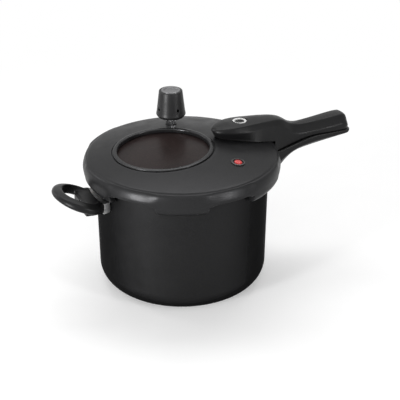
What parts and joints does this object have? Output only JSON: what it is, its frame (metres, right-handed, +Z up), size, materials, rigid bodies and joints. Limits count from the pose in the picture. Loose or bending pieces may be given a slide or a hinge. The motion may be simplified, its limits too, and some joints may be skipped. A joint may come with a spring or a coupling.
{
  "type": "stovetop pressure cooker",
  "caption": "Black coated aluminium pressure cooker with induction base, twist-on outer lid, round window, regulator weight, safety valve, long double handle and helper handle.",
  "frame": {"origin": "centre of the pot's base, on the face that rests on the hob", "axes": "+Z up along the pot's axis, +X along the long handles, +Y to the left of the handles seen from above"},
  "size_m": [0.3891, 0.235, 0.2167],
  "materials": {
    "coated_aluminium": "satin black non-stick coat outside",
    "coated_lid": "fine-grained satin charcoal coat",
    "disc_steel": "brushed",
    "bracket_steel": "satin",
    "rivet_aluminium": "satin",
    "bakelite": "moulded, slightly glossy edges",
    "screw_steel": "plated",
    "pale_silicone": "matte",
    "dark_silicone": "matte",
    "red_silicone": "satin",
    "bezel_metal": "dark anodised",
    "tinted_glass": "smooth, brown tint",
    "vent_steel": "turned",
    "nut_chrome": "bright",
    "weight_black": "satin",
    "core_brass": "turned",
    "cap_metal": "spun",
    "collar_metal": "dark anodised",
    "white_plastic": "glossy",
    "button_black": "glossy",
    "spring_steel": "drawn wire"
  },
  "bodies": {
    "pot": {"pot_body": "coated_aluminium", "induction_disc": "disc_steel", "pot_handle_bracket": "bracket_steel", "bracket_rivets": "rivet_aluminium", "pot_handle": "bakelite", "pot_handle_screw": "screw_steel", "helper_bracket": "bracket_steel", "helper_handle": "bakelite", "helper_screw": "screw_steel"},
    "seal": {"sealing_ring": "pale_silicone"},
    "lid": {"lid_shell": "coated_lid", "window_bezel": "bezel_metal", "window_gasket": "dark_silicone", "window_glass": "tinted_glass", "window_retainer": "bracket_steel", "retainer_screws": "screw_steel", "vent_pipe": "vent_steel", "vent_washer": "pale_silicone", "vent_nut": "nut_chrome", "vent_filter": "vent_steel", "valve_collar": "collar_metal", "valve_plug": "red_silicone", "valve_nut": "screw_steel", "lid_handle": "bakelite", "handle_inserts": "core_brass", "lid_handle_screws": "screw_steel", "screw_seals": "pale_silicone", "pin_collar": "white_plastic", "pin_spring": "spring_steel"},
    "weight": {"weight_shell": "weight_black", "weight_core": "core_brass", "weight_cap": "cap_metal"},
    "pin": {"lock_pin": "vent_steel", "pin_button": "button_black", "pin_seal": "pale_silicone"}
  },
  "joints": [
    {"name": "lid_lift", "type": "slide", "parent": "pot", "child": "seal", "axis": [0, 0, 1], "range_m": [0, 0.12]},
    {"name": "lid_turn", "type": "hinge", "parent": "seal", "child": "lid", "pos_m": [0, 0, 0.158], "axis": [0, 0, 1], "range_deg": [0, 30]},
    {"name": "weight_lift", "type": "slide", "parent": "lid", "child": "weight", "axis": [0, 0, 1], "range_m": [0, 0.036]},
    {"name": "pin_rise", "type": "slide", "parent": "lid", "child": "pin", "axis": [0, 0, 1], "range_m": [0, 0.0035], "stiffness_N_per_m": 60, "springref_m": -0.002, "deforming": ["pin_spring"]}
  ]
}
